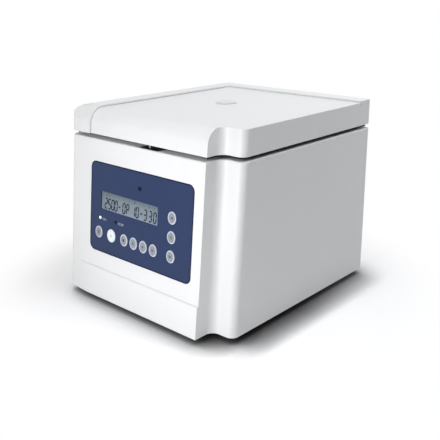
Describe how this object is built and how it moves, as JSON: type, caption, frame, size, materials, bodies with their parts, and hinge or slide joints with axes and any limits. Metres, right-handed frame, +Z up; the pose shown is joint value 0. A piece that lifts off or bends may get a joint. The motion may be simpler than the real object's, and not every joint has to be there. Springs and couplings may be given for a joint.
{
  "type": "clinical centrifuge",
  "caption": "Benchtop clinical centrifuge: white casing with leaning keypad front, hinged lid with sight disc, and an angled-well spinning head in a steel bowl.",
  "frame": {"origin": "on the bench plane, under the middle of the casing", "axes": "+Z up, the control front faces -Y, +X to the operator's right"},
  "size_m": [0.28, 0.326, 0.2608],
  "materials": {
    "casing_white": "smooth moulded, light gloss",
    "liner_white": "satin",
    "sight_clear": "translucent white",
    "fascia_blue": "satin film",
    "key_grey": "satin",
    "key_lit": "lit white",
    "lcd": "flat, grey-blue",
    "window_clear": "clear",
    "lamp": "clear lens",
    "board_green": "solder mask",
    "steel_bright": "brushed",
    "steel_part": "zinc plated",
    "brass_part": "plain",
    "motor_paint": "black, semi-gloss",
    "rotor_alloy": "anodised, satin",
    "sleeve_plastic": "satin",
    "nut_black": "fine grain",
    "rubber_black": "matt",
    "gasket_grey": "matt",
    "plastic_black": "fine grain",
    "rocker_black": "gloss"
  },
  "bodies": {
    "casing": {"housing": "casing_white", "base_plate": "steel_bright", "foot_front_left": "rubber_black", "foot_front_right": "rubber_black", "foot_back_left": "rubber_black", "foot_back_right": "rubber_black", "foot_screws": "steel_part", "casing_screws": "steel_part", "chamber_bowl": "steel_bright", "chamber_gasket": "gasket_grey", "shaft_boot": "rubber_black", "motor_plate": "steel_part", "vibration_mounts": "rubber_black", "motor_posts": "steel_part", "motor": "motor_paint", "hinge_bracket_left": "steel_part", "hinge_bracket_right": "steel_part", "lock_case": "plastic_black", "lock_solenoid": "motor_paint", "control_fascia": "fascia_blue", "display_module": "lcd", "display_window": "window_clear", "status_lamps": "lamp", "control_board": "board_green", "board_standoffs": "brass_part", "power_board": "board_green", "power_inlet": "plastic_black", "fuse_drawer": "plastic_black", "rocker_frame": "plastic_black", "rear_grille": "plastic_black"},
    "lid": {"lid_shell": "casing_white", "lid_liner": "liner_white", "liner_screws": "steel_part", "sight_window": "sight_clear", "hinge_leaf_left": "steel_part", "hinge_leaf_right": "steel_part", "hinge_pin_left": "steel_part", "hinge_pin_right": "steel_part", "latch_hook": "steel_part"},
    "spinning_head": {"motor_shaft": "steel_part", "rotor_head": "rotor_alloy", "tube_sleeve_1": "sleeve_plastic", "tube_sleeve_2": "sleeve_plastic", "tube_sleeve_3": "sleeve_plastic", "tube_sleeve_4": "sleeve_plastic", "tube_sleeve_5": "sleeve_plastic", "tube_sleeve_6": "sleeve_plastic", "rotor_nut": "nut_black"},
    "row_1_key": {"key_row_1": "key_grey"},
    "row_2_key": {"key_row_2": "key_lit"},
    "row_3_key": {"key_row_3": "key_grey"},
    "row_4_key": {"key_row_4": "key_grey"},
    "row_5_key": {"key_row_5": "key_grey"},
    "row_6_key": {"key_row_6": "key_grey"},
    "column_1_key": {"key_column_1": "key_grey"},
    "column_2_key": {"key_column_2": "key_grey"},
    "column_3_key": {"key_column_3": "key_grey"},
    "rocker_paddle": {"rocker": "rocker_black"},
    "bolt": {"lock_bolt": "steel_part"}
  },
  "joints": [
    {"name": "lid_hinge", "type": "hinge", "parent": "casing", "child": "lid", "pos_m": [0, 0.153, 0.237], "axis": [-1, 0, 0], "range_deg": [0, 75]},
    {"name": "head_spin", "type": "hinge", "parent": "casing", "child": "spinning_head", "pos_m": [0, 0.0145, 0.15], "axis": [0, 0, 1], "continuous": true},
    {"name": "row_1_key_press", "type": "slide", "parent": "casing", "child": "row_1_key", "axis": [0, 0.9963, -0.0854], "range_m": [0, 0.0008], "stiffness_N_per_m": 600},
    {"name": "row_2_key_press", "type": "slide", "parent": "casing", "child": "row_2_key", "axis": [0, 0.9963, -0.0854], "range_m": [0, 0.0008], "stiffness_N_per_m": 600},
    {"name": "row_3_key_press", "type": "slide", "parent": "casing", "child": "row_3_key", "axis": [0, 0.9963, -0.0854], "range_m": [0, 0.0008], "stiffness_N_per_m": 600},
    {"name": "row_4_key_press", "type": "slide", "parent": "casing", "child": "row_4_key", "axis": [0, 0.9963, -0.0854], "range_m": [0, 0.0008], "stiffness_N_per_m": 600},
    {"name": "row_5_key_press", "type": "slide", "parent": "casing", "child": "row_5_key", "axis": [0, 0.9963, -0.0854], "range_m": [0, 0.0008], "stiffness_N_per_m": 600},
    {"name": "row_6_key_press", "type": "slide", "parent": "casing", "child": "row_6_key", "axis": [0, 0.9963, -0.0854], "range_m": [0, 0.0008], "stiffness_N_per_m": 600},
    {"name": "column_1_key_press", "type": "slide", "parent": "casing", "child": "column_1_key", "axis": [0, 0.9963, -0.0854], "range_m": [0, 0.0008], "stiffness_N_per_m": 600},
    {"name": "column_2_key_press", "type": "slide", "parent": "casing", "child": "column_2_key", "axis": [0, 0.9963, -0.0854], "range_m": [0, 0.0008], "stiffness_N_per_m": 600},
    {"name": "column_3_key_press", "type": "slide", "parent": "casing", "child": "column_3_key", "axis": [0, 0.9963, -0.0854], "range_m": [0, 0.0008], "stiffness_N_per_m": 600},
    {"name": "power_rocker", "type": "hinge", "parent": "casing", "child": "rocker_paddle", "pos_m": [0.031, 0.154, 0.046], "axis": [-1, 0, 0], "range_deg": [0, 18]},
    {"name": "lock_bolt_slide", "type": "slide", "parent": "casing", "child": "bolt", "axis": [-1, 0, 0], "range_m": [0, 0.008], "stiffness_N_per_m": 150}
  ]
}
